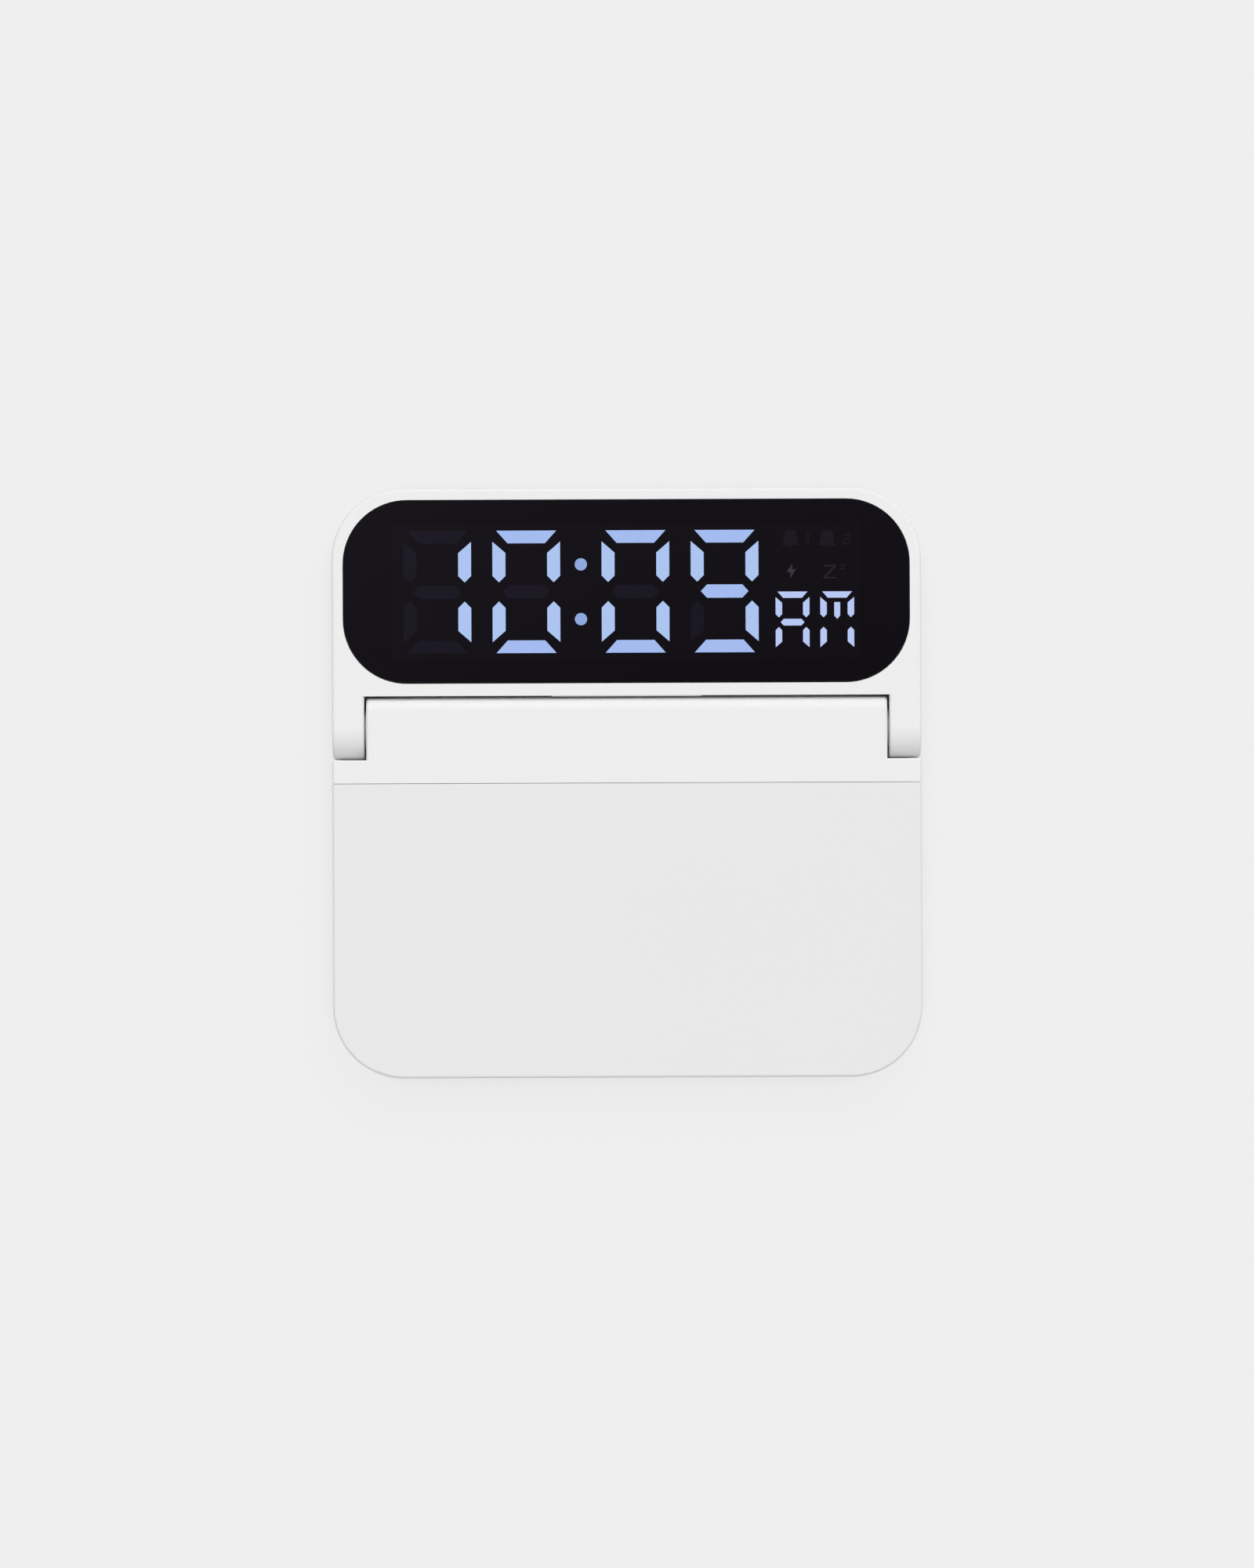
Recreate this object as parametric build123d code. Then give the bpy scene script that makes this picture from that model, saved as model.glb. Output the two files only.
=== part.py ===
from build123d import *
import math
import os

# A folding alarm clock with a wireless charging pad, lying open and flat.
# The base half points to -Y, the display half to +Y. Z is up, and the feet stand on Z = 0.
# All lengths are in millimetres.

# Whole clock, open and flat
body_width = 100.0
base_reach = 59.3
display_reach = 40.7
body_thickness = 10.4
corner_radius = 12.0
rim_radius = 0.5
wall = 1.5
parting_gap = 0.12
foot_height = 0.6
overrun = 1.0

# Hinge: the base ends in a barrel, round below and upright behind, which two arms of the display
# reach past. The display's sill is hollow, so that the barrel's edge passes it when it folds up.
arm_width = 5.4
knuckle_gap = 0.4
barrel_gap = 0.35
barrel_edge_radius = 2.0
sill_hollow_gap = 0.2
sill_wall = 1.2
shoulder_gap = 0.1
knuckle_bevel = 0.3
barrel_end_wall = 2.0
pin_radius = 2.0
pin_clearance = 0.04
pin_bore_radius = 1.0
pin_end_gap = 0.5
tang_side = 3.2
tang_length = 3.2
tang_inset = 0.4
tang_slot_inset = 0.3
tang_slot_width = 1.7
washer_radius = 3.4
washer_clearance = 0.05
leaf_thickness = 0.9
leaf_width = 12.0
leaf_tail = 11.0
leaf_mouth = 0.8
leaf_screw_from_end = 3.4
leaf_screw_spread = 6.4

# Base covers and the seam between them
seam_setback = 9.3
seam_gap = 0.08
tongue_length = 1.4
tongue_root = 2.6
tongue_thickness = 0.8
tongue_clearance = 0.1
tongue_side_gap = 1.2

# Case screws, all alike, each hidden under a foot
screw_radius = 0.85
screw_clearance = 0.05
screw_passage = 0.25
screw_head_radius = 1.6
screw_head_height = 1.0
screw_seat_depth = 1.2
screw_tip_gap = 1.0
boss_radius = 2.3
boss_overlap = 0.4

# Small screws for the board and the hinge leaves
small_screw_radius = 0.7
small_head_radius = 1.3
small_head_height = 0.6
small_screw_length = 2.2
small_boss_radius = 1.7

# Rubber feet, let into the case
foot_recess = 0.6
foot_clearance = 0.1
base_foot_width = 5.0
front_foot_inset = 8.0
front_foot_side_inset = 12.0
rear_screw_seam_gap = 0.3
rear_screw_leaf_gap = 5.4
screw_from_foot_end = 5.0
display_foot_width = 4.4
display_foot_end_inset = 4.0
display_foot_inset = 4.0
display_screw_from_foot_end = 3.4

# Charging coil of flat wire and its ferrite plate, hung under the pad cover
coil_turns = 7
coil_gap_steps = 280
coil_edge_gap = 2.0
coil_wire_width = 1.0
coil_turn_gap = 0.45
coil_height = 1.1
ferrite_margin = 1.2
ferrite_hole_gap = 0.8
ferrite_thickness = 0.8

# Charger board
board_thickness = 1.0
board_side_gap = 0.8
board_leaf_gap = 1.3
board_front_gap = 3.0
board_bay_gap = 4.0
board_corner_radius = 1.5
board_hole_inset = 3.0
board_connector_width = 6.0
board_connector_depth = 4.0
board_connector_height = 3.0
board_connector_inset = 0.5
board_connector_tower_gap = 7.7
chip_side = 5.0
chip_height = 0.9
inductor_side = 4.4
inductor_height = 2.2
capacitor_width = 2.5
capacitor_depth = 3.2
capacitor_height = 2.0
chip_place_shares = ((0.36, 0.60), (0.50, 0.20))
inductor_place_shares = ((0.66, 0.22), (0.80, 0.22))
capacitor_place_shares = ((0.12, 0.45), (0.12, 0.65), (0.22, 0.45), (0.22, 0.65))

# USB-C receptacle, let into the right side at the parting line
usb_width = 8.94
usb_height = 3.2
usb_wall = 0.3
usb_length = 7.3
usb_recess = 0.4
usb_hole_clearance = 0.18
usb_from_board_back = 6.0
usb_back_length = 2.4
usb_tongue_width = 6.7
usb_tongue_thickness = 0.7
usb_tongue_setback = 0.9
usb_fit_gap = 0.05

# Buzzer over a ring of sound holes, and the coin cell that keeps the time
bay_gap = 1.0
buzzer_radius = 6.0
buzzer_height = 2.6
buzzer_port_radius = 1.2
buzzer_port_depth = 0.8
buzzer_bevel = 0.4
sound_hole_radius = 0.7
sound_hole_ring = 2.6
sound_hole_count = 6
cell_radius = 10.0
cell_height = 3.2
cell_rim = 0.5
cell_fit_gap = 0.15
holder_wall = 1.0
holder_floor = 0.5
holder_height = 2.4
clip_width = 6.0
clip_thickness = 0.3
clip_leg_gap = 0.1

# Wires in the base
wire_radius = 0.4
wire_spacing = 1.4
wire_bend = 1.6
wire_end_gap = 0.1
coil_lead_reach = 2.4
harness_radius = 0.7
harness_base_bend = 8.0
harness_pin_bend = 1.6
harness_meeting_inset = 1.2
harness_turn_inset = 3.2
harness_channel = 2.2
harness_row_gap = 0.2

# Lens and its black mask
lens_border = 1.95
lens_sill = 2.15
lens_radius = 10.8
lens_thickness = 1.2
lens_recess = 0.1
lens_clearance = 0.08
lens_bevel = 0.12
mask_thickness = 0.15
mask_inset = 0.05
mask_overhang = 0.25
front_plate = 0.75
sill_lip_width = 25.4
sill_lip_reach = 0.13
sill_lip_drop = 0.35
sill_lip_height = 1.0

# LCD and its backlight, stacked behind the front plate
lcd_board_margin = 0.25
lcd_thickness = 1.8
lcd_lap_side = 2.0
lcd_lap_end = 0.75
diffuser_thickness = 0.2
reflector_thickness = 0.2
stack_fit_gap = 0.1
frame_wall = 0.9
led_height = 1.4
led_width = 3.0
led_thickness = 0.75
led_pocket_gap = 0.1
led_place_shares = (0.25, 0.5, 0.75)
zebra_width = 1.4
zebra_gap = 0.3
zebra_end_inset = 6.0

# Display board
display_board_thickness = 1.0
display_board_side_gap = 0.4
display_board_sill_gap = 0.3
display_board_top_gap = 1.2
display_board_corner_radius = 3.5
display_post_radius = 1.5
display_post_inset = 4.0
driver_side = 8.0
driver_height = 0.9
driver_place_shares = ((0.30, 0.24), (0.62, 0.24))
crystal_width = 3.2
crystal_depth = 1.5
crystal_height = 0.8
crystal_place_share = (0.46, 0.24)
display_connector_width = 5.0
display_connector_depth = 1.5
display_connector_height = 1.4
display_connector_inset = 5.0

# Keys on the back of the display, and their switches
key_radius = 3.0
key_clearance = 0.15
key_proud = 0.25
key_dish = 0.15
key_dish_margin = 0.8
key_flange = 0.8
key_flange_thickness = 0.5
key_seat_gap = 0.05
key_room = 0.45
key_stem_radius = 0.8
key_spacing = 12.0
switch_side = 4.5
switch_height = 0.9
switch_pocket_radius = 1.1
switch_pocket_depth = 0.7
switch_reach = 0.05

# Snooze bar in the display's top edge, and its switch
snooze_length = 24.0
snooze_height = 3.6
snooze_clearance = 0.15
snooze_recess = 0.05
snooze_bevel = 0.2
snooze_flange = 0.9
snooze_flange_thickness = 0.6
snooze_stem_width = 1.2
snooze_stem_height = 0.7
snooze_switch_width = 6.0
snooze_switch_depth = 1.2
snooze_switch_height = 1.8
snooze_switch_gap = 0.1

# Levels and places that follow from the sizes above
side_x = body_width / 2
body_length = base_reach + display_reach
front_y = -body_length / 2
back_y = body_length / 2
case_bottom = foot_height
case_top = case_bottom + body_thickness
hinge_radius = body_thickness / 2
hinge_y = back_y - display_reach
hinge_z = case_bottom + hinge_radius
floor_z = case_bottom + wall
roof_z = case_top - wall
through_z = (0, case_top + overrun)
arm_x = side_x - arm_width
barrel_x = arm_x - knuckle_gap
barrel_inner_x = barrel_x - barrel_end_wall
sill_y = hinge_y + hinge_radius + barrel_gap
barrel_corner_reach = (hinge_radius - barrel_edge_radius) * math.sqrt(2) + barrel_edge_radius
sill_hollow_radius = barrel_corner_reach + sill_hollow_gap
sill_inner_y = hinge_y + sill_hollow_radius + sill_wall
shoulder_y = hinge_y - hinge_radius - shoulder_gap
seam_y = hinge_y - seam_setback
pad_length = seam_y - front_y
pad_middle_y = front_y + pad_length / 2

# Hinge places
tang_x0 = arm_x + tang_inset
tang_x1 = tang_x0 + tang_length
leaf_inner_radius = pin_radius + pin_clearance
leaf_outer_radius = leaf_inner_radius + leaf_thickness
leaf_x1 = barrel_inner_x - pin_end_gap
leaf_x0 = leaf_x1 - leaf_width
pin_x0 = leaf_x0 - pin_end_gap
leaf_bottom = hinge_z - leaf_outer_radius
leaf_top = hinge_z - leaf_inner_radius
leaf_middle_x = (leaf_x0 + leaf_x1) / 2
leaf_screw_y = hinge_y - leaf_tail + leaf_screw_from_end

# Feet and case screws
foot_top = case_bottom + foot_recess
screw_seat_z = foot_top + screw_seat_depth
screw_tip_z = roof_z - screw_tip_gap
front_foot_y = front_y + front_foot_inset
front_foot_length = body_width - 2 * front_foot_side_inset
front_screw_x = front_foot_length / 2 - screw_from_foot_end
rear_foot_y = seam_y + tongue_length + rear_screw_seam_gap + boss_radius
rear_screw_x = leaf_x0 - rear_screw_leaf_gap - boss_radius
rear_foot_length = 2 * (rear_screw_x + screw_from_foot_end)
display_foot_x = side_x - display_foot_inset

# Coin cell and buzzer, in the bay on the left
holder_radius = cell_radius + cell_fit_gap + holder_wall
clip_reach = holder_radius + clip_leg_gap + clip_thickness
cell_x = clip_reach + bay_gap + wall - side_x
cell_y = front_foot_y + boss_radius + bay_gap + holder_radius
buzzer_x = buzzer_radius + bay_gap - leaf_x0
buzzer_reach = holder_radius + bay_gap + buzzer_radius
buzzer_y = cell_y + math.sqrt(max(0, buzzer_reach**2 - (buzzer_x - cell_x) ** 2))

# Charger board places, right of the bay and in front of the hinge leaves
board_top = hinge_z - usb_height / 2
board_bottom = board_top - board_thickness
board_x0 = buzzer_x + buzzer_radius + board_bay_gap
board_x1 = side_x - wall - board_side_gap
board_width = board_x1 - board_x0
board_y0 = front_foot_y + boss_radius + board_front_gap
board_y1 = hinge_y - leaf_tail - board_leaf_gap
board_depth = board_y1 - board_y0
usb_y = board_y1 - usb_from_board_back
usb_x1 = side_x - usb_recess
usb_x0 = usb_x1 - usb_length
board_connector_x = rear_screw_x - boss_radius - board_connector_tower_gap
board_connector_y1 = board_y1 - board_connector_inset

# Coil places
coil_pitch = coil_wire_width + coil_turn_gap
coil_outer_radius = pad_length / 2 - wall - coil_edge_gap
coil_inner_radius = coil_outer_radius - coil_wire_width - coil_turns * coil_pitch
coil_bottom = roof_z - coil_height
ferrite_radius = coil_outer_radius + ferrite_margin

# Lens and display stack, from the front face down
lens_x = side_x - lens_border
lens_y0 = sill_y + lens_sill
lens_y1 = back_y - lens_border
lens_height = lens_y1 - lens_y0
lens_y = (lens_y0 + lens_y1) / 2
display_board_x = display_foot_x - boss_radius - display_board_side_gap
frame_rim = stack_fit_gap + frame_wall
lcd_width = 2 * (display_board_x - lcd_board_margin - frame_rim)
harness_row_y = sill_inner_y + harness_row_gap + harness_radius
lcd_y0 = harness_row_y + harness_radius + harness_row_gap + frame_rim
lcd_height = 2 * (lens_y - lcd_y0)
lens_top = case_top - lens_recess
lens_bottom = lens_top - lens_thickness
plate_top = lens_bottom - mask_thickness
plate_bottom = plate_top - front_plate
lcd_bottom = plate_bottom - lcd_thickness
diffuser_bottom = lcd_bottom - diffuser_thickness
key_flange_bottom = floor_z + key_seat_gap
key_flange_top = key_flange_bottom + key_flange_thickness
switch_bottom = key_flange_top + key_room
display_board_bottom = switch_bottom + switch_height
display_board_top = display_board_bottom + display_board_thickness
light_guide_bottom = display_board_top + reflector_thickness
view_width = lcd_width - 2 * lcd_lap_side
view_height = lcd_height - 2 * lcd_lap_end
lcd_y1 = lcd_y0 + lcd_height
guide_y0 = lcd_y0 + zebra_width + 2 * zebra_gap
display_board_y0 = sill_inner_y + display_board_sill_gap
display_board_y1 = back_y - wall - display_board_top_gap
display_foot_y = lens_y - lens_sill / 2
display_foot_length = lens_height - 2 * display_foot_end_inset
display_screw_dy = display_foot_length / 2 - display_screw_from_foot_end

# Harness through the hollow pin and along the display's sill wall
harness_turn_x = side_x - harness_turn_inset
harness_meeting_x = barrel_x - harness_meeting_inset
display_connector_x1 = display_board_x - display_connector_inset

# Keys and switches
key_xs = [key_spacing * step for step in (-2, -1, 0, 1, 2)]
key_names = ("set_button", "alarm_1_button", "alarm_2_button", "minus_button", "plus_button")
key_y = lens_y
snooze_flange_y1 = back_y - wall - key_seat_gap
snooze_flange_y0 = snooze_flange_y1 - snooze_flange_thickness
snooze_switch_y0 = lcd_y1 + frame_rim + snooze_switch_gap
snooze_switch_y1 = snooze_switch_y0 + snooze_switch_depth

nodes = {}


def block(x_range, y_range, z_range):
    """A box between two values on each axis."""
    ranges = (x_range, y_range, z_range)
    middle = [(low + high) / 2 for low, high in ranges]
    sides = [high - low for low, high in ranges]
    return Pos(*middle) * Box(*sides)


def about(middle, size):
    """The range of a given size about a middle value."""
    return middle - size / 2, middle + size / 2


def post(x, y, z_range, radius):
    """An upright cylinder."""
    low, high = z_range
    return Pos(x, y, (low + high) / 2) * Cylinder(radius, high - low)


def rod(x_range, radius):
    """A round bar along the hinge axis."""
    low, high = x_range
    return Pos((low + high) / 2, hinge_y, hinge_z) * Rot(0, 90, 0) * Cylinder(radius, high - low)


def plate(y, width, depth, radius, z_range):
    """A flat plate with rounded corners, in the middle of the clock's width."""
    low, high = z_range
    return extrude(Pos(0, y, low) * RectangleRounded(width, depth, radius), amount=high - low)


def strip(x, y, length, width, z_range, turn=0):
    """A flat strip with round ends, along X unless it is turned."""
    low, high = z_range
    return extrude(Pos(x, y, low) * SlotOverall(length, width, rotation=turn), amount=high - low)


def pill_along_x(x_range, y, width, height):
    """A bar along X with a flat oval section, at the height of the hinge axis."""
    low, high = x_range
    section = Plane((low, y, hinge_z), x_dir=(0, 1, 0), z_dir=(1, 0, 0)) * SlotOverall(width, height)
    return extrude(section, amount=high - low)


def pill_along_y(y_range, width, height):
    """A bar along Y with a flat oval section, at the height of the hinge axis."""
    low, high = y_range
    section = Plane((0, low, hinge_z), x_dir=(-1, 0, 0), z_dir=(0, 1, 0)) * SlotOverall(width, height)
    return extrude(section, amount=high - low)


def mirrored(shape):
    """The shape and its mirror image on the clock's other side."""
    return [shape, mirror(shape, about=Plane.YZ)]


def wire(points, radius, bend=0):
    """A round wire of straight runs joined by arcs."""
    path = FilletPolyline(*points, radius=bend) if bend else Line(*points)
    return sweep(Plane(path @ 0, z_dir=path % 0) * Circle(radius), path=path)


def lower_half(shell):
    """What lies under the parting line."""
    return split(shell, bisect_by=Plane.XY.offset(hinge_z - parting_gap / 2), keep=Keep.BOTTOM)


def upper_half(shell):
    """What lies over the parting line."""
    return split(shell, bisect_by=Plane.XY.offset(hinge_z + parting_gap / 2), keep=Keep.TOP)


def hinged_leaf(far_y, inset):
    """A flat half of the clock, round about the hinge axis, shrunk all round by the inset."""
    towards = math.copysign(1, far_y - hinge_y)
    radius = hinge_radius - inset
    edge_y = far_y - towards * inset
    past_hinge_y = hinge_y - towards * (radius + overrun)
    past_edge_y = edge_y + towards * overrun
    plan = Pos(0, (edge_y + past_hinge_y) / 2)
    plan *= Rectangle(2 * (side_x - inset), abs(edge_y - past_hinge_y))
    far_corners = plan.vertices().group_by(Axis.Y)[-1 if towards > 0 else 0]
    plan = fillet(far_corners, corner_radius - inset)
    leaf = extrude(Pos(0, 0, hinge_z - radius) * plan, amount=2 * radius)
    profile = Pos((past_edge_y + hinge_y) / 2, hinge_z)
    profile *= Rectangle(abs(past_edge_y - hinge_y), 2 * radius)
    profile += Pos(hinge_y, hinge_z) * Circle(radius)
    return leaf & extrude(Plane.YZ * profile, amount=side_x, both=True)


def rounded_leaf(far_y):
    """The outer form of a half, with a small round all along its rim."""
    leaf = hinged_leaf(far_y, 0)
    along_x = leaf.edges().filter_by(Axis.X)
    far_lines = along_x.group_by(Axis.Y)[-1 if far_y > hinge_y else 0]
    rim = leaf.edges() - leaf.edges().filter_by(Axis.Z) - along_x + far_lines
    return fillet(rim, rim_radius)


def barrel_back(inset):
    """The upright back of the barrel, round along its top edge, shrunk by the inset."""
    reach = hinge_radius - inset
    section = Pos(hinge_y + reach / 2, hinge_z + reach / 2) * Rectangle(reach, reach)
    top_corner = section.vertices().group_by(Axis.X)[-1].sort_by(Axis.Y)[-1]
    section = fillet(top_corner, barrel_edge_radius - inset)
    return extrude(Plane.YZ * section, amount=barrel_x, both=True)


def bevelled(shell, faces, corner_y):
    """The shell with a small bevel round its faces along the hinge gaps, but not in their inner corners."""
    edges = ShapeList(edge for face in faces for edge in face.edges())
    upright = edges.filter_by(Axis.Z)
    corners = ShapeList(edge for edge in upright if abs(edge.center().Y - corner_y) < knuckle_bevel)
    return chamfer(edges - corners, knuckle_bevel)


def faces_across(shell, face_x):
    """The faces on both sides of the clock that run past the hinge gaps."""
    upright = shell.faces().filter_by(Axis.X)
    return [face for face in upright if abs(abs(face.center().X) - face_x) < knuckle_bevel]


def base_shell():
    """Both base covers and the tray as one hollow form: slab, shoulders and hinge barrel."""
    shell = rounded_leaf(front_y) + barrel_back(0)
    for notch in mirrored(block((barrel_x, body_width), (shoulder_y, back_y), through_z)):
        shell -= notch
    along = shell.faces().filter_by(Axis.Y)
    shoulders = [face for face in along if abs(face.center().Y - shoulder_y) < knuckle_bevel]
    shell = bevelled(shell, faces_across(shell, barrel_x) + shoulders, shoulder_y)
    cavity = hinged_leaf(front_y, wall) + barrel_back(wall)
    for end in mirrored(block((barrel_inner_x, side_x), (shoulder_y - wall, back_y), (0, case_top))):
        cavity -= end
    shell -= cavity
    shell -= rod((-side_x, side_x), pin_radius + pin_clearance)
    usb_hole_width = usb_width + 2 * usb_hole_clearance
    usb_hole_height = usb_height + 2 * usb_hole_clearance
    return shell - pill_along_x((usb_x0, body_width), usb_y, usb_hole_width, usb_hole_height)


def display_shell():
    """Display housing and back cover as one hollow form: frame, lens seat and hinge arms."""
    shell = rounded_leaf(back_y)
    shell -= block((-arm_x, arm_x), (front_y, sill_y), through_z)
    shell = bevelled(shell, faces_across(shell, arm_x), sill_y)
    shell -= rod((-arm_x, arm_x), sill_hollow_radius)
    inside = block((-side_x, side_x), (sill_inner_y, back_y), (0, plate_bottom))
    shell -= hinged_leaf(back_y, wall) & inside
    seat_width = 2 * (lens_x + lens_clearance)
    seat_depth = lens_height + 2 * lens_clearance
    seat_height = (plate_top, case_top + overrun)
    shell -= plate(lens_y, seat_width, seat_depth, lens_radius + lens_clearance, seat_height)
    shell -= block(about(0, view_width), about(lens_y, view_height), (hinge_z, case_top + overrun))
    tang_fit = tang_side + 2 * pin_clearance
    tang_pocket = block((arm_x, tang_x1 + pin_clearance), about(hinge_y, tang_fit), about(hinge_z, tang_fit))
    for pocket in mirrored(tang_pocket):
        shell -= pocket
    for hole in mirrored(rod((barrel_x, tang_x0), pin_radius + pin_clearance)):
        shell -= hole
    shell -= block(
        about(harness_turn_x, harness_channel),
        (hinge_y, sill_inner_y + overrun),
        about(hinge_z, harness_channel),
    )
    snooze_hole_length = snooze_length + 2 * snooze_clearance
    snooze_hole_height = snooze_height + 2 * snooze_clearance
    return shell - pill_along_y((lens_y1 - wall, body_length), snooze_hole_length, snooze_hole_height)


def with_screw_tower(lower, x, y):
    """The lower shell with a boss, a shank hole and a pocket for the screw's head."""
    lower += post(x, y, (foot_top, hinge_z), boss_radius)
    lower -= post(x, y, (0, hinge_z + overrun), screw_radius + screw_passage)
    return lower - post(x, y, (0, screw_seat_z), screw_head_radius + screw_passage)


def with_screw_boss(upper, x, y, top_z):
    """The upper shell with a boss that the screw's tip cuts into."""
    upper += post(x, y, (hinge_z, top_z), boss_radius)
    return upper - post(x, y, (0, screw_tip_z + screw_clearance), screw_radius + screw_clearance)


def case_screw(x, y):
    """One self-tapping case screw, head down."""
    head = post(x, y, (screw_seat_z - screw_head_height, screw_seat_z), screw_head_radius)
    return head + post(x, y, (screw_seat_z, screw_tip_z), screw_radius)


def small_screw(x, y, seat_z):
    """One small screw, head up, seated at the given height."""
    head = post(x, y, (seat_z, seat_z + small_head_height), small_head_radius)
    return head + post(x, y, (seat_z - small_screw_length, seat_z), small_screw_radius)


def small_screw_hole(x, y, seat_z):
    """The hole that a small screw needs in what it holds and in what it bites into."""
    tip_z = seat_z - small_screw_length - screw_clearance
    return post(x, y, (tip_z, seat_z + overrun), small_screw_radius + screw_clearance)


# Base case: tray, pad cover and hinge cover

front_screws = [(-front_screw_x, front_foot_y), (front_screw_x, front_foot_y)]
rear_screws = [(-rear_screw_x, rear_foot_y), (rear_screw_x, rear_foot_y)]
board_screws = [
    (board_x0 + board_hole_inset, board_y0 + board_hole_inset),
    (board_x1 - board_hole_inset, board_y0 + board_hole_inset),
    (board_x0 + board_hole_inset, board_y1 - board_hole_inset),
]
leaf_screws = [
    (side * (leaf_middle_x + step * leaf_screw_spread / 2), leaf_screw_y)
    for side in (-1, 1)
    for step in (-1, 1)
]
base = base_shell()


def base_tray():
    """Lower shell with its foot recesses, screw towers, board posts and leaf pads."""
    tray = lower_half(base)
    for x, y in front_screws + rear_screws:
        tray = with_screw_tower(tray, x, y)
    recess_width = base_foot_width + 2 * foot_clearance
    for y, length in ((front_foot_y, front_foot_length), (rear_foot_y, rear_foot_length)):
        tray -= strip(0, y, length + 2 * foot_clearance, recess_width, (0, foot_top))
    for x, y in board_screws:
        tray += post(x, y, (foot_top, board_bottom), small_boss_radius)
        tray -= small_screw_hole(x, y, board_top)
    tail_y = hinge_y - leaf_tail
    pad = block((leaf_x0, leaf_x1), (tail_y, tail_y + 2 * leaf_screw_from_end), (foot_top, leaf_bottom))
    for side in mirrored(pad):
        tray += side
    for x, y in leaf_screws:
        tray -= small_screw_hole(x, y, leaf_top)
    spots = PolarLocations(sound_hole_ring, sound_hole_count, rotate=False)
    for spot in [Pos(0, 0), *spots]:
        tray -= spot * post(buzzer_x, buzzer_y, (0, floor_z + overrun), sound_hole_radius)
    return tray


def pad_cover():
    """Upper shell over the coil, with a tongue that hooks under the hinge cover."""
    cover = upper_half(base)
    cover &= block((-body_width, body_width), (-body_length, seam_y - seam_gap / 2), through_z)
    for x, y in front_screws:
        cover = with_screw_boss(cover, x, y, roof_z + boss_overlap)
    tongue_x = barrel_inner_x - tongue_side_gap
    tongue_top = roof_z - tongue_clearance
    root_y = seam_y - seam_gap / 2
    cover += block((-tongue_x, tongue_x), (root_y - tongue_root, root_y), (tongue_top, roof_z))
    return cover + block(
        (-tongue_x, tongue_x),
        (root_y - tongue_root, seam_y + tongue_length),
        (tongue_top - tongue_thickness, tongue_top),
    )


def hinge_cover():
    """Upper shell with the shoulders and the top of the hinge barrel."""
    cover = upper_half(base)
    cover &= block((-body_width, body_width), (seam_y + seam_gap / 2, body_length), through_z)
    for x, y in rear_screws:
        cover = with_screw_boss(cover, x, y, roof_z + boss_overlap)
    return cover


nodes["base_tray"] = base_tray()
nodes["pad_cover"] = pad_cover()
nodes["hinge_cover"] = hinge_cover()
nodes["front_foot"] = strip(0, front_foot_y, front_foot_length, base_foot_width, (0, foot_top))
nodes["rear_foot"] = strip(0, rear_foot_y, rear_foot_length, base_foot_width, (0, foot_top))
nodes["base_screws"] = Compound([case_screw(x, y) for x, y in front_screws + rear_screws])

# Charging coil and ferrite plate


def least_turn_gap(path):
    """The least gap between the turns of the coil, measured on points along its path."""
    points = [path @ (step / coil_gap_steps) for step in range(coil_gap_steps + 1)]
    half_turn = math.ceil(math.pi * coil_inner_radius * coil_gap_steps / path.length)
    pairs = [(p, q) for i, p in enumerate(points) for q in points[i + half_turn :]]
    return min((p - q).length for p, q in pairs) - coil_wire_width


def charging_coil():
    """A flat spiral of half turns about two centres, half a pitch apart."""
    half_pitch = coil_pitch / 2
    middle_z = coil_bottom + coil_height / 2
    first_radius = coil_inner_radius + coil_wire_width / 2
    turns = []
    for half in range(2 * coil_turns):
        centre_x = half_pitch if half % 2 else 0
        start_angle = 180 if half % 2 else 0
        centre = (centre_x, pad_middle_y, middle_z)
        turns.append(CenterArc(centre, first_radius + half * half_pitch, start_angle, 180))
    path = Wire(turns)
    print(f"least gap between the coil's turns: {least_turn_gap(path):.2f} mm")
    section = Plane(path @ 0, x_dir=(1, 0, 0), z_dir=path % 0) * Rectangle(coil_wire_width, coil_height)
    return sweep(section, path=path)


coil_lead_z = coil_bottom + coil_height / 2
coil_inner_end_x = coil_inner_radius + coil_wire_width / 2
coil_outer_end_x = coil_inner_end_x + coil_turns * coil_pitch
inner_lead_y = pad_middle_y - coil_lead_reach
outer_lead_y = pad_middle_y + coil_lead_reach
ferrite_hole_radius = wire_radius + ferrite_hole_gap


def ferrite_plate():
    """A sintered disc under the coil, with a hole for the coil's inner lead."""
    z_range = (coil_bottom - ferrite_thickness, coil_bottom)
    disc = post(0, pad_middle_y, z_range, ferrite_radius)
    return disc - post(coil_inner_end_x, inner_lead_y, (0, coil_bottom), ferrite_hole_radius)


def coil_leads():
    """The coil's two ends, brought down to the charger board."""
    inner = [
        (coil_inner_end_x, pad_middle_y - wire_end_gap, coil_lead_z),
        (coil_inner_end_x, inner_lead_y, coil_lead_z),
        (coil_inner_end_x, inner_lead_y, board_top),
    ]
    drop_x = ferrite_radius + wire_bend
    outer = [
        (coil_outer_end_x, pad_middle_y + wire_end_gap, coil_lead_z),
        (coil_outer_end_x, outer_lead_y, coil_lead_z),
        (drop_x, outer_lead_y, coil_lead_z),
        (drop_x, outer_lead_y, board_top),
    ]
    return Compound([wire(inner, wire_radius, wire_bend), wire(outer, wire_radius, wire_bend)])


nodes["charging_coil"] = charging_coil()
nodes["ferrite_plate"] = ferrite_plate()
nodes["coil_leads"] = coil_leads()

# Charger board, what is soldered to it, and its USB-C inlet


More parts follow.
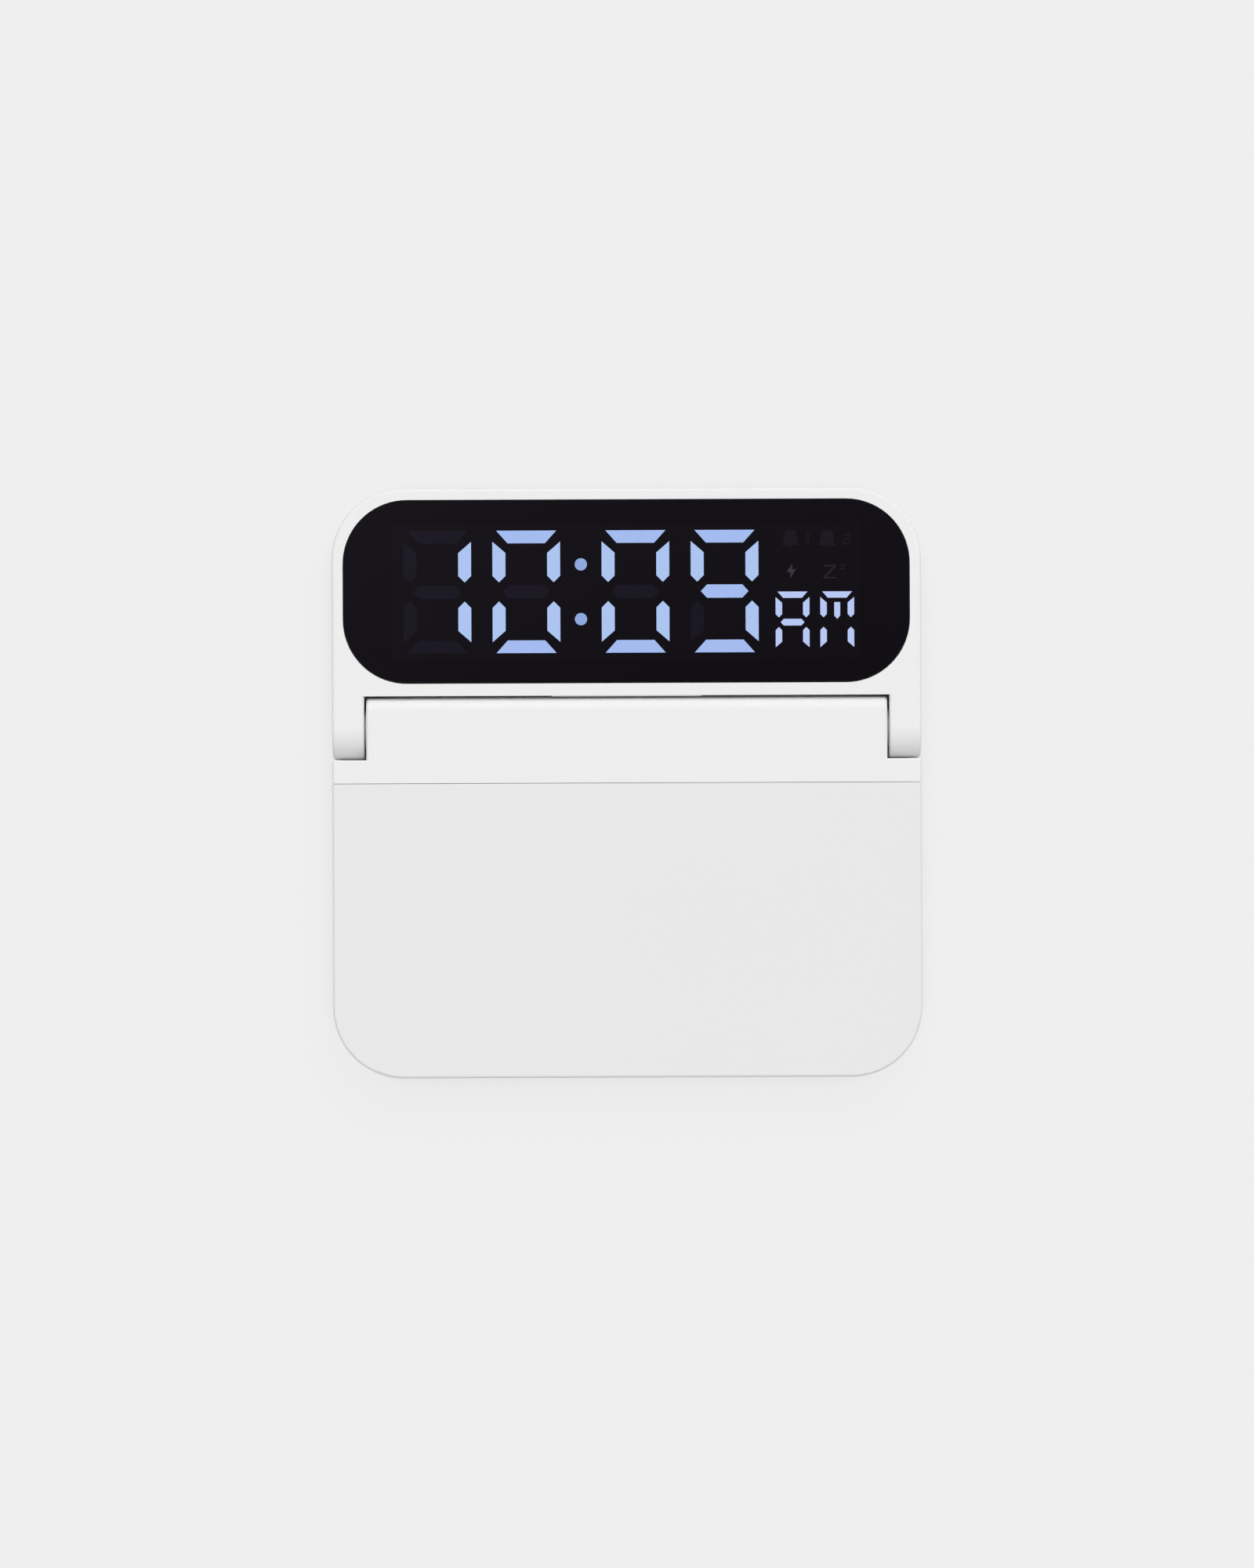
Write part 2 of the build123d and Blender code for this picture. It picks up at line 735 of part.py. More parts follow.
def charger_board():
    """The main circuit board, screwed to three posts of the tray."""
    outline = RectangleRounded(board_width, board_depth, board_corner_radius)
    middle = Pos((board_x0 + board_x1) / 2, (board_y0 + board_y1) / 2, board_bottom)
    board = extrude(middle * outline, amount=board_thickness)
    for x, y in board_screws:
        board -= small_screw_hole(x, y, board_top)
    return board


def on_board(place_share, width, depth, height):
    """One part soldered to the top of the charger board."""
    x = board_x0 + place_share[0] * board_width
    y = board_y0 + place_share[1] * board_depth
    return block(about(x, width), about(y, depth), (board_top, board_top + height))


def charger_board_parts():
    """Control chips, coils and resonant capacitors, and the socket of the hinge harness."""
    parts = [on_board(spot, chip_side, chip_side, chip_height) for spot in chip_place_shares]
    parts += [
        on_board(spot, inductor_side, inductor_side, inductor_height)
        for spot in inductor_place_shares
    ]
    parts += [
        on_board(spot, capacitor_width, capacitor_depth, capacitor_height)
        for spot in capacitor_place_shares
    ]
    parts.append(
        block(
            about(board_connector_x, board_connector_width),
            (board_connector_y1 - board_connector_depth, board_connector_y1),
            (board_top, board_top + board_connector_height),
        )
    )
    return Compound(parts)


def usb_shell():
    """The drawn steel shell of the USB-C receptacle."""
    outside = pill_along_x((usb_x0, usb_x1), usb_y, usb_width, usb_height)
    bore_range = (usb_x0 - overrun, usb_x1 + overrun)
    return outside - pill_along_x(bore_range, usb_y, usb_width - 2 * usb_wall, usb_height - 2 * usb_wall)


def usb_tongue():
    """The receptacle's moulded back block and contact tongue."""
    back_width = usb_width - 2 * usb_wall - 2 * usb_fit_gap
    back_height = usb_height - 2 * usb_wall - 2 * usb_fit_gap
    back = pill_along_x((usb_x0, usb_x0 + usb_back_length), usb_y, back_width, back_height)
    return back + block(
        (usb_x0, usb_x1 - usb_tongue_setback),
        about(usb_y, usb_tongue_width),
        about(hinge_z, usb_tongue_thickness),
    )


nodes["charger_board"] = charger_board()
nodes["charger_board_parts"] = charger_board_parts()
nodes["board_screws"] = Compound([small_screw(x, y, board_top) for x, y in board_screws])
nodes["usb_shell"] = usb_shell()
nodes["usb_tongue"] = usb_tongue()

# Buzzer, coin cell and their wires, in the bay on the left


def buzzer():
    """A piezo buzzer with its port over the sound holes."""
    case = post(buzzer_x, buzzer_y, (floor_z, floor_z + buzzer_height), buzzer_radius)
    case = chamfer(case.edges().group_by(Axis.Z)[-1], buzzer_bevel)
    return case - post(buzzer_x, buzzer_y, (0, floor_z + buzzer_port_depth), buzzer_port_radius)


cell_bottom = floor_z + holder_floor
cell_top = cell_bottom + cell_height


def cell_holder():
    """A moulded cup for the coin cell."""
    cup = post(cell_x, cell_y, (floor_z, floor_z + holder_height), holder_radius)
    return cup - post(cell_x, cell_y, (cell_bottom, case_top), cell_radius + cell_fit_gap)


def coin_cell():
    """The cell that keeps the time when the power is off."""
    cell = post(cell_x, cell_y, (cell_bottom, cell_top), cell_radius)
    return chamfer(cell.edges().group_by(Axis.Z)[-1], cell_rim)


def cell_clip():
    """A bridge of spring steel over the cell, with a leg on each side of the holder."""
    width = about(cell_y, clip_width)
    bridge = block(about(cell_x, 2 * clip_reach), width, (floor_z, cell_top + clip_thickness))
    return bridge - block(about(cell_x, 2 * (clip_reach - clip_thickness)), width, (0, cell_top))


def bay_leads(start_x, y):
    """A pair of straight wires from the bay to the edge of the charger board."""
    z = board_bottom + board_thickness / 2
    start = start_x + wire_end_gap
    end = board_x0 - wire_end_gap
    rows = about(y, wire_spacing)
    return Compound([wire([(start, row, z), (end, row, z)], wire_radius) for row in rows])


nodes["buzzer"] = buzzer()
nodes["buzzer_leads"] = bay_leads(buzzer_x + buzzer_radius, buzzer_y)
nodes["cell_holder"] = cell_holder()
nodes["coin_cell"] = coin_cell()
nodes["cell_clip"] = cell_clip()
nodes["cell_leads"] = bay_leads(cell_x + clip_reach, cell_y)

# Hinge: rolled friction leaves in the barrel, pins fixed in the arms, thrust washers between


def hinge_leaf():
    """A steel strip rolled tight round the pin, with a flat tail screwed to the tray."""
    ring = Circle(leaf_outer_radius) - Circle(leaf_inner_radius)
    mouth_depth = leaf_outer_radius - leaf_mouth
    mouth_middle = (-leaf_outer_radius / 2, -leaf_mouth - mouth_depth / 2)
    ring -= Pos(*mouth_middle) * Rectangle(leaf_outer_radius, mouth_depth)
    tail_middle = (-leaf_tail / 2, -leaf_inner_radius - leaf_thickness / 2)
    profile = ring + Pos(*tail_middle) * Rectangle(leaf_tail, leaf_thickness)
    start = Plane((leaf_x0, hinge_y, hinge_z), x_dir=(0, 1, 0), z_dir=(1, 0, 0))
    leaf = extrude(start * profile, leaf_width)
    for x, y in leaf_screws:
        leaf -= small_screw_hole(x, y, leaf_top)
    return leaf


def hinge_pin():
    """A steel pin that turns in the leaf, with a square tang held between the two arm halves."""
    pin = rod((pin_x0, tang_x0), pin_radius)
    return pin + block((tang_x0, tang_x1), about(hinge_y, tang_side), about(hinge_z, tang_side))


def hollow_hinge_pin():
    """The right pin, bored for the harness, with a slot that lets it turn into the arm."""
    pin = hinge_pin() - rod((0, side_x), pin_bore_radius)
    slot_x = (tang_x0 + tang_slot_inset, side_x)
    return pin - block(slot_x, (hinge_y, hinge_y + tang_side), about(hinge_z, tang_slot_width))


def hinge_washer():
    """A thin thrust washer between barrel and arm."""
    washer_x = (barrel_x + washer_clearance, arm_x - washer_clearance)
    return rod(washer_x, washer_radius) - rod((barrel_inner_x, side_x), pin_radius + pin_clearance)


leaves = mirrored(hinge_leaf())
nodes["hinge_leaf_right"] = leaves[0]
nodes["hinge_leaf_left"] = leaves[1]
nodes["leaf_screws"] = Compound([small_screw(x, y, leaf_top) for x, y in leaf_screws])
nodes["hinge_pin_right"] = hollow_hinge_pin()
nodes["hinge_pin_left"] = mirror(hinge_pin(), about=Plane.YZ)
nodes["hinge_washers"] = Compound(mirrored(hinge_washer()))

# Wire harness from the charger board through the hollow pin to the display

base_route = [
    (board_connector_x, board_connector_y1, hinge_z),
    (board_connector_x, hinge_y, hinge_z),
    (harness_meeting_x, hinge_y, hinge_z),
]
display_route = [
    (harness_meeting_x, hinge_y, hinge_z),
    (harness_turn_x, hinge_y, hinge_z),
    (harness_turn_x, harness_row_y, hinge_z),
    (display_connector_x1, harness_row_y, hinge_z),
]
nodes["base_harness"] = wire(base_route, harness_radius, harness_base_bend)
nodes["display_harness"] = wire(display_route, harness_radius, harness_pin_bend)

# Display case

display = display_shell()
display_screws = [
    (side * display_foot_x, display_foot_y + step * display_screw_dy)
    for side in (-1, 1)
    for step in (-1, 1)
]


def display_housing():
    """Front shell with the lens seat, the front plate and the upper half of both arms."""
    housing = upper_half(display)
    for x, y in display_screws:
        housing = with_screw_boss(housing, x, y, plate_bottom + boss_overlap)
    lip_top = case_top - sill_lip_drop
    return housing + block(
        about(0, sill_lip_width),
        (sill_y - sill_lip_reach, sill_y + sill_wall / 2),
        (lip_top - sill_lip_height, lip_top),
    )


def display_back_cover():
    """Rear shell with key holes, foot recesses, screw towers and posts for the board."""
    cover = lower_half(display)
    for x, y in display_screws:
        cover = with_screw_tower(cover, x, y)
    recess_length = display_foot_length + 2 * foot_clearance
    recess_width = display_foot_width + 2 * foot_clearance
    recess = strip(display_foot_x, display_foot_y, recess_length, recess_width, (0, foot_top), turn=90)
    for side in mirrored(recess):
        cover -= side
    for x in key_xs:
        cover -= post(x, key_y, (0, floor_z + overrun), key_radius + key_clearance)
    post_x = display_board_x - display_post_inset
    for y in (display_board_y0 + display_post_inset, display_board_y1 - display_post_inset):
        for stand in mirrored(post(post_x, y, (foot_top, display_board_bottom), display_post_radius)):
            cover += stand
    return cover


display_foot_place = (display_foot_x, display_foot_y)
display_foot_size = (display_foot_length, display_foot_width)
display_foot = strip(*display_foot_place, *display_foot_size, (0, foot_top), turn=90)
nodes["display_housing"] = display_housing()
nodes["display_back_cover"] = display_back_cover()
nodes["display_feet"] = Compound(mirrored(display_foot))
nodes["display_screws"] = Compound([case_screw(x, y) for x, y in display_screws])

# Lens, LCD and backlight, from the front down


def display_lens():
    """The smoked acrylic lens, with a fine bevel on its front edge."""
    lens = plate(lens_y, 2 * lens_x, lens_height, lens_radius, (lens_bottom, lens_top))
    return chamfer(lens.edges().group_by(Axis.Z)[-1], lens_bevel)


def lens_mask():
    """Black tape that holds the lens, open in front of the LCD."""
    width = 2 * (lens_x - mask_inset)
    depth = lens_height - 2 * mask_inset
    mask = plate(lens_y, width, depth, lens_radius - mask_inset, (plate_top, lens_bottom))
    window_x = about(0, view_width - 2 * mask_overhang)
    return mask - block(window_x, about(lens_y, view_height - 2 * mask_overhang), through_z)


def backlight_frame():
    """The moulded ring that holds the LCD and its backlight, with pockets for the LEDs."""
    height = (display_board_top, plate_bottom)
    frame = block(about(0, lcd_width + 2 * frame_rim), about(lens_y, lcd_height + 2 * frame_rim), height)
    pocket_width = lcd_width + 2 * stack_fit_gap
    frame -= block(about(0, pocket_width), about(lens_y, lcd_height + 2 * stack_fit_gap), through_z)
    for led in backlight_leds(led_pocket_gap):
        frame -= led
    return frame


def backlight_leds(room):
    """Side-firing LEDs at both ends of the light guide, or with room added, their pockets."""
    led_x0 = lcd_width / 2 + stack_fit_gap
    leds = []
    for share in led_place_shares:
        y = guide_y0 + share * (lcd_y1 - guide_y0)
        led = block(
            (led_x0 - room, led_x0 + led_thickness + 2 * room),
            about(y, led_width + 2 * room),
            (display_board_top, display_board_top + led_height + room),
        )
        leds += mirrored(led)
    return leds


def in_stack(y_range, low, high):
    """One full-width layer of the backlight stack."""
    return block(about(0, lcd_width), y_range, (low, high))


guide_range = (guide_y0, lcd_y1)
zebra_range = (lcd_y0 + zebra_gap, lcd_y0 + zebra_gap + zebra_width)
zebra_length = lcd_width - 2 * zebra_end_inset
nodes["display_lens"] = display_lens()
nodes["lens_mask"] = lens_mask()
nodes["lcd_panel"] = in_stack((lcd_y0, lcd_y1), lcd_bottom, plate_bottom)
nodes["diffuser_sheet"] = in_stack(guide_range, diffuser_bottom, lcd_bottom)
nodes["light_guide"] = in_stack(guide_range, light_guide_bottom, diffuser_bottom)
nodes["reflector_sheet"] = in_stack(guide_range, display_board_top, light_guide_bottom)
nodes["zebra_strip"] = block(about(0, zebra_length), zebra_range, (display_board_top, lcd_bottom))
nodes["backlight_frame"] = backlight_frame()
nodes["backlight_leds"] = Compound(backlight_leds(0))

# Display board, its parts and switches


def display_board():
    """The circuit board behind the backlight."""
    depth = display_board_y1 - display_board_y0
    middle_y = (display_board_y0 + display_board_y1) / 2
    z_range = (display_board_bottom, display_board_top)
    return plate(middle_y, 2 * display_board_x, depth, display_board_corner_radius, z_range)


def under_display_board(place_share, width, depth, height):
    """One part soldered to the back of the display board."""
    x = display_board_x * (2 * place_share[0] - 1)
    y = display_board_y0 + place_share[1] * (display_board_y1 - display_board_y0)
    return block(about(x, width), about(y, depth), (display_board_bottom - height, display_board_bottom))


def display_board_parts():
    """LCD driver, clock chip and crystal, and the socket of the harness."""
    parts = [
        under_display_board(spot, driver_side, driver_side, driver_height)
        for spot in driver_place_shares
    ]
    parts.append(under_display_board(crystal_place_share, crystal_width, crystal_depth, crystal_height))
    parts.append(
        block(
            (display_connector_x1 - display_connector_width, display_connector_x1),
            about(harness_row_y, display_connector_depth),
            (display_board_top, display_board_top + display_connector_height),
        )
    )
    return Compound(parts)


def key_switch(x):
    """One flat tactile switch, with the pocket that its key's stem presses into."""
    body = block(about(x, switch_side), about(key_y, switch_side), (switch_bottom, display_board_bottom))
    return body - post(x, key_y, (0, switch_bottom + switch_pocket_depth), switch_pocket_radius)


def snooze_switch():
    """The side-push switch behind the snooze bar."""
    body = block(
        about(0, snooze_switch_width),
        (snooze_switch_y0, snooze_switch_y1),
        (display_board_top, display_board_top + snooze_switch_height),
    )
    return body - block(
        about(0, snooze_stem_width + 2 * snooze_clearance),
        (snooze_switch_y1 - switch_pocket_depth, back_y),
        about(hinge_z, snooze_stem_height + 2 * snooze_clearance),
    )


nodes["display_board"] = display_board()
nodes["display_board_parts"] = display_board_parts()
nodes["key_switches"] = Compound([key_switch(x) for x in key_xs])
nodes["snooze_switch"] = snooze_switch()

# Keys


def key(x):
    """One round key with a dished face, a flange inside the cover and a stem for its switch."""
    face_z = case_bottom - key_proud
    cap = post(x, key_y, (face_z, key_flange_top), key_radius)
    cap += post(x, key_y, (key_flange_bottom, key_flange_top), key_radius + key_flange)
    cap += post(x, key_y, (key_flange_top, switch_bottom + switch_reach), key_stem_radius)
    dish_reach = key_radius - key_dish_margin
    dish_radius = (dish_reach**2 + key_dish**2) / (2 * key_dish)
    return cap - Pos(x, key_y, face_z + key_dish - dish_radius) * Sphere(dish_radius)


def snooze_button():
    """The long bar in the top edge, with a flange inside the case and a stem for its switch."""
    bar = pill_along_y((snooze_flange_y1, back_y - snooze_recess), snooze_length, snooze_height)
    bar = chamfer(bar.edges().group_by(Axis.Y)[-1], snooze_bevel)
    flange_length = snooze_length + 2 * snooze_flange
    flange_height = snooze_height + 2 * snooze_flange
    bar += pill_along_y((snooze_flange_y0, snooze_flange_y1), flange_length, flange_height)
    return bar + block(
        about(0, snooze_stem_width),
        (snooze_switch_y1 - switch_reach, snooze_flange_y0),
        about(hinge_z, snooze_stem_height),
    )


for name, x in zip(key_names, key_xs):
    nodes[name] = key(x)
nodes["snooze_button"] = snooze_button()

os.makedirs("parts", exist_ok=True)
for name, shape in nodes.items():
    export_step(shape, f"parts/{name}.step")
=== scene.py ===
import math

import bmesh
import bpy
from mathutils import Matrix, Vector


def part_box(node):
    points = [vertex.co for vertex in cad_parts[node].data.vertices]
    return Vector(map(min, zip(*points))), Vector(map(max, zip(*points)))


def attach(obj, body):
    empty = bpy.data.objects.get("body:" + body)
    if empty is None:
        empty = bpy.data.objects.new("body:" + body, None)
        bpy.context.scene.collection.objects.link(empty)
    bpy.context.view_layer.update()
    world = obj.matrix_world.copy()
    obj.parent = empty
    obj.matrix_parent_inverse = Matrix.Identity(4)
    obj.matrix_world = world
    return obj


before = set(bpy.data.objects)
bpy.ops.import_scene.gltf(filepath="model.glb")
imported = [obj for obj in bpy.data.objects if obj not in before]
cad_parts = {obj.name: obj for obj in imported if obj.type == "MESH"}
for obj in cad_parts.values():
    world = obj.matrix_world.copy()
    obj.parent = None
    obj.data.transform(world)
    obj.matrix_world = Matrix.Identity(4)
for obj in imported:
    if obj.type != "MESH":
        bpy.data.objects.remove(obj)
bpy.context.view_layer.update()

# White case: tray, pad cover and hinge cover of the base, front and back shell of the display.
# Injection-moulded ABS out of a lightly spark-eroded mould, so it is a soft satin white with a
# grain that only shows close up. The shells are screwed together from below.
MM_PER_M = 1000


def linear(hex_colour):
    """An sRGB hex colour as linear RGBA."""
    shares = [int(hex_colour[place:place + 2], 16) / 255 for place in (1, 3, 5)]
    return (*[s / 12.92 if s <= 0.04045 else ((s + 0.055) / 1.055) ** 2.4 for s in shares], 1.0)


def add(tree, kind, settings=None, links=None):
    """A new node with its settings, by property or socket, and what its sockets are linked from."""
    node = tree.nodes.new(kind)
    for name, value in (settings or {}).items():
        if isinstance(name, str) and hasattr(node, name):
            setattr(node, name, value)
        else:
            node.inputs[name].default_value = value
    for name, source in (links or {}).items():
        tree.links.new(source, node.inputs[name])
    return node


def new_material(name, **sockets):
    """A material with one Principled shader, its tree and its Object coordinates."""
    material = bpy.data.materials.new(name)
    material.use_nodes = True
    tree = material.node_tree
    tree.nodes.clear()
    settings = {socket.replace("_", " "): value for socket, value in sockets.items()}
    shader = add(tree, "ShaderNodeBsdfPrincipled", settings)
    add(tree, "ShaderNodeOutputMaterial", links={"Surface": shader.outputs["BSDF"]})
    place = add(tree, "ShaderNodeTexCoord").outputs["Object"]
    return material, tree, shader, place


def dress(material, *names):
    """Gives CAD pieces their material."""
    for name in names:
        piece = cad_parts[name]
        piece.data.materials.clear()
        piece.data.materials.append(material)


def moulded_plastic(name, colour, shade, roughness, grain_mm, depth_mm):
    """Plastic with a spark-eroded grain, and a slow drift of tone from uneven flow in the mould."""
    material, tree, shader, place = new_material(
        name, Roughness=roughness, IOR=1.53, Specular_IOR_Level=0.3
    )
    grain = add(
        tree,
        "ShaderNodeTexNoise",
        {"Scale": MM_PER_M / grain_mm, "Detail": 2.0},
        {"Vector": place},
    )
    bump = add(
        tree,
        "ShaderNodeBump",
        {"Strength": 0.5, "Distance": depth_mm / MM_PER_M},
        {"Height": grain.outputs["Fac"]},
    )
    flow_mm = 40.0
    flow = add(
        tree,
        "ShaderNodeTexNoise",
        {"Scale": MM_PER_M / flow_mm, "Detail": 1.0},
        {"Vector": place},
    )
    tone = add(
        tree,
        "ShaderNodeMix",
        {"data_type": "RGBA", 6: linear(colour), 7: linear(shade)},
        {0: flow.outputs["Fac"]},
    )
    tree.links.new(tone.outputs[2], shader.inputs["Base Color"])
    tree.links.new(bump.outputs["Normal"], shader.inputs["Normal"])
    return material


# The mould's grain is about 0.15 mm, drawn at 0.3 mm so that it shows in a close view.
white_abs = moulded_plastic("moulded_white_abs", "#EEEEEE", "#ECECEC", 0.58, 0.3, 0.01)
pad_abs = moulded_plastic("moulded_white_abs_pad", "#E9E9E9", "#E7E7E7", 0.62, 0.3, 0.012)
dress(white_abs, "base_tray", "hinge_cover", "display_housing", "display_back_cover")
dress(pad_abs, "pad_cover")

# Feet: strips of grey silicone rubber, die-cut and glued into recesses under the case.
# Rubber is matt and takes up fine dust, which lightens it in patches.
foot_rubber, tree, shader, place = new_material("die_cut_silicone", Roughness=0.8, IOR=1.43)
dust_mm = 3.0
dust = add(
    tree,
    "ShaderNodeTexNoise",
    {"Scale": MM_PER_M / dust_mm, "Detail": 4.0},
    {"Vector": place},
)
dust_tone = add(tree, "ShaderNodeValToRGB", links={"Fac": dust.outputs["Fac"]})
dust_tone.color_ramp.elements[0].color = linear("#B4B4B2")
dust_tone.color_ramp.elements[1].color = linear("#C4C4C1")
skin_mm = 0.25
skin_depth_mm = 0.03
skin = add(tree, "ShaderNodeTexNoise", {"Scale": MM_PER_M / skin_mm}, {"Vector": place})
skin_bump = add(
    tree,
    "ShaderNodeBump",
    {"Strength": 0.4, "Distance": skin_depth_mm / MM_PER_M},
    {"Height": skin.outputs["Fac"]},
)
tree.links.new(dust_tone.outputs["Color"], shader.inputs["Base Color"])
tree.links.new(skin_bump.outputs["Normal"], shader.inputs["Normal"])
dress(foot_rubber, "front_foot", "rear_foot", "display_feet")

# Screws: zinc-plated steel, self-tapping, hidden under the feet and inside the case.
# The plating is a cool grey with a slightly cloudy gloss.


def plated_metal(name, colour, roughness, cloud_mm):
    """Metal whose plating or rolling leaves clouds of rougher and smoother skin."""
    material, tree, shader, place = new_material(name, Metallic=1.0, Base_Color=linear(colour))
    cloud = add(
        tree,
        "ShaderNodeTexNoise",
        {"Scale": MM_PER_M / cloud_mm, "Detail": 3.0},
        {"Vector": place},
    )
    spread = 0.25 * roughness
    gloss = add(
        tree,
        "ShaderNodeMapRange",
        {"To Min": roughness - spread, "To Max": roughness + spread},
        {"Value": cloud.outputs["Fac"]},
    )
    tree.links.new(gloss.outputs["Result"], shader.inputs["Roughness"])
    return material


zinc_plated = plated_metal("zinc_plated_steel", "#C3C5C8", 0.32, 1.0)
dress(zinc_plated, "base_screws", "board_screws", "leaf_screws", "display_screws")

# Charging coil: flat copper wire with baked enamel, wound in one layer and bonded under the pad.
# Enamel gives the copper a warm brown gloss.
dress(plated_metal("enamelled_copper", "#B8693C", 0.28, 0.8), "charging_coil")

# Ferrite plate behind the coil: pressed and sintered, dark grey and slightly granular.
# The black mouldings on the boards, the buzzer and the cell's cup have a like dull skin.


def granular(name, colour, fleck, roughness, grain_mm):
    """A dull skin with flecks."""
    material, tree, shader, place = new_material(name, Roughness=roughness)
    grain = add(
        tree,
        "ShaderNodeTexNoise",
        {"Scale": MM_PER_M / grain_mm, "Detail": 3.0},
        {"Vector": place},
    )
    tone = add(tree, "ShaderNodeValToRGB", links={"Fac": grain.outputs["Fac"]})
    for stop, position, shade in zip(tone.color_ramp.elements, (0.35, 0.7), (colour, fleck)):
        stop.position = position
        stop.color = linear(shade)
    grain_depth_mm = 0.02
    bump = add(
        tree,
        "ShaderNodeBump",
        {"Strength": 0.3, "Distance": grain_depth_mm / MM_PER_M},
        {"Height": grain.outputs["Fac"]},
    )
    tree.links.new(tone.outputs["Color"], shader.inputs["Base Color"])
    tree.links.new(bump.outputs["Normal"], shader.inputs["Normal"])
    return material


dress(granular("sintered_ferrite", "#242426", "#35353A", 0.6, 0.4), "ferrite_plate")
black_moulding = granular("black_moulding_compound", "#17171A", "#202024", 0.55, 0.3)
dress(black_moulding, "charger_board_parts", "display_board_parts", "key_switches", "snooze_switch")
dress(black_moulding, "buzzer", "cell_holder", "usb_tongue")

# Circuit boards: glass-fibre laminate under green solder mask.
# The copper under the mask shows as slightly paler tracks, drawn here as a square pattern.
green_board, tree, shader, place = new_material(
    "solder_mask_on_laminate", Roughness=0.35, IOR=1.55
)
track_mm = 1.6
tracks = add(
    tree,
    "ShaderNodeTexBrick",
    {
        "Color1": linear("#0F4A2A"),
        "Color2": linear("#14552F"),
        "Mortar": linear("#0B3C22"),
        "Scale": MM_PER_M / track_mm,
        "Mortar Size": 0.12,
    },
    {"Vector": place},
)
tree.links.new(tracks.outputs["Color"], shader.inputs["Base Color"])
dress(green_board, "charger_board", "display_board")

# Wires: tinned copper strands in black PVC, soldered to the boards.
# Extruded PVC is glossy with a faint waviness along the wire.
wire_pvc, tree, shader, place = new_material(
    "extruded_pvc", Base_Color=linear("#1E1E20"), IOR=1.54
)
wave_mm = 1.2
wave = add(tree, "ShaderNodeTexNoise", {"Scale": MM_PER_M / wave_mm}, {"Vector": place})
wire_gloss = add(
    tree,
    "ShaderNodeMapRange",
    {"To Min": 0.28, "To Max": 0.42},
    {"Value": wave.outputs["Fac"]},
)
tree.links.new(wire_gloss.outputs["Result"], shader.inputs["Roughness"])
dress(wire_pvc, "coil_leads", "buzzer_leads", "cell_leads", "base_harness", "display_harness")

# USB-C inlet in the right side: a deep-drawn shell of nickel-plated steel round a black tongue,
# which carries twelve gold-plated contacts on each face. Sizes are metres.
CONTACT_COUNT = 12
CONTACT_PITCH = 0.0005
CONTACT_WIDTH = 0.00028
CONTACT_LENGTH = 0.0026
CONTACT_HEIGHT = 0.00004
CONTACT_BEVEL = CONTACT_HEIGHT / 3
TONGUE_HALF = 0.00035
LENGTH_TOLERANCE = 0.000001
dress(plated_metal("nickel_plated_steel", "#CFCDC8", 0.22, 1.2), "usb_shell")
tongue_low, tongue_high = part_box("usb_tongue")
tongue_middle = (tongue_low + tongue_high) / 2
contacts = bmesh.new()
for face in (-1, 1):
    for step in range(CONTACT_COUNT):
        bar = bmesh.ops.create_cube(contacts, size=1.0)["verts"]
        bar_size = (CONTACT_LENGTH, CONTACT_WIDTH, CONTACT_HEIGHT)
        bmesh.ops.scale(contacts, verts=bar, vec=bar_size)
        centre = Vector((
            tongue_high.x - CONTACT_LENGTH / 2 - CONTACT_WIDTH,
            tongue_middle.y + (step - (CONTACT_COUNT - 1) / 2) * CONTACT_PITCH,
            tongue_middle.z + face * TONGUE_HALF,
        ))
        bmesh.ops.translate(contacts, verts=bar, vec=centre)
        edges = {edge for vert in bar for edge in vert.link_edges}
        long_edges = [
            edge for edge in edges if abs(edge.calc_length() - CONTACT_LENGTH) < LENGTH_TOLERANCE
        ]
        bmesh.ops.bevel(
            contacts,
            geom=long_edges,
            offset=CONTACT_BEVEL,
            offset_type="OFFSET",
            affect="EDGES",
            segments=2,
            profile=0.5,
            material=-1,
        )


def piece_from(mesh, name, material, body):
    """A finished piece at the origin, riding on its body."""
    data = bpy.data.meshes.new(name)
    mesh.to_mesh(data)
    mesh.free()
    data.materials.append(material)
    piece = bpy.data.objects.new(name, data)
    bpy.context.scene.collection.objects.link(piece)
    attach(piece, body)
    return piece


gold_plated = plated_metal("gold_plated_contact", "#D9A94A", 0.2, 0.6)
piece_from(contacts, "usb_contacts", gold_plated, "base")

# Coin cell and its clip: the cell is a polished stainless can, the clip rolled spring steel.
# The hinge leaves are rolled from the same spring steel, the pins are ground to size.
dress(plated_metal("polished_stainless_can", "#CACACB", 0.18, 2.0), "coin_cell")
spring_steel = plated_metal("rolled_spring_steel", "#9FA0A3", 0.34, 1.5)
dress(spring_steel, "cell_clip", "hinge_leaf_right", "hinge_leaf_left")
dress(plated_metal("ground_steel", "#B8B9BB", 0.25, 0.5), "hinge_pin_right", "hinge_pin_left")

# Thrust washers between barrel and arms: natural nylon, punched from sheet and slipped over the
# pins. Nylon without pigment is slightly yellow and a little waxy.
dress(moulded_plastic("natural_nylon", "#E9E6DA", "#E4E0D2", 0.5, 0.4, 0.01), "hinge_washers")

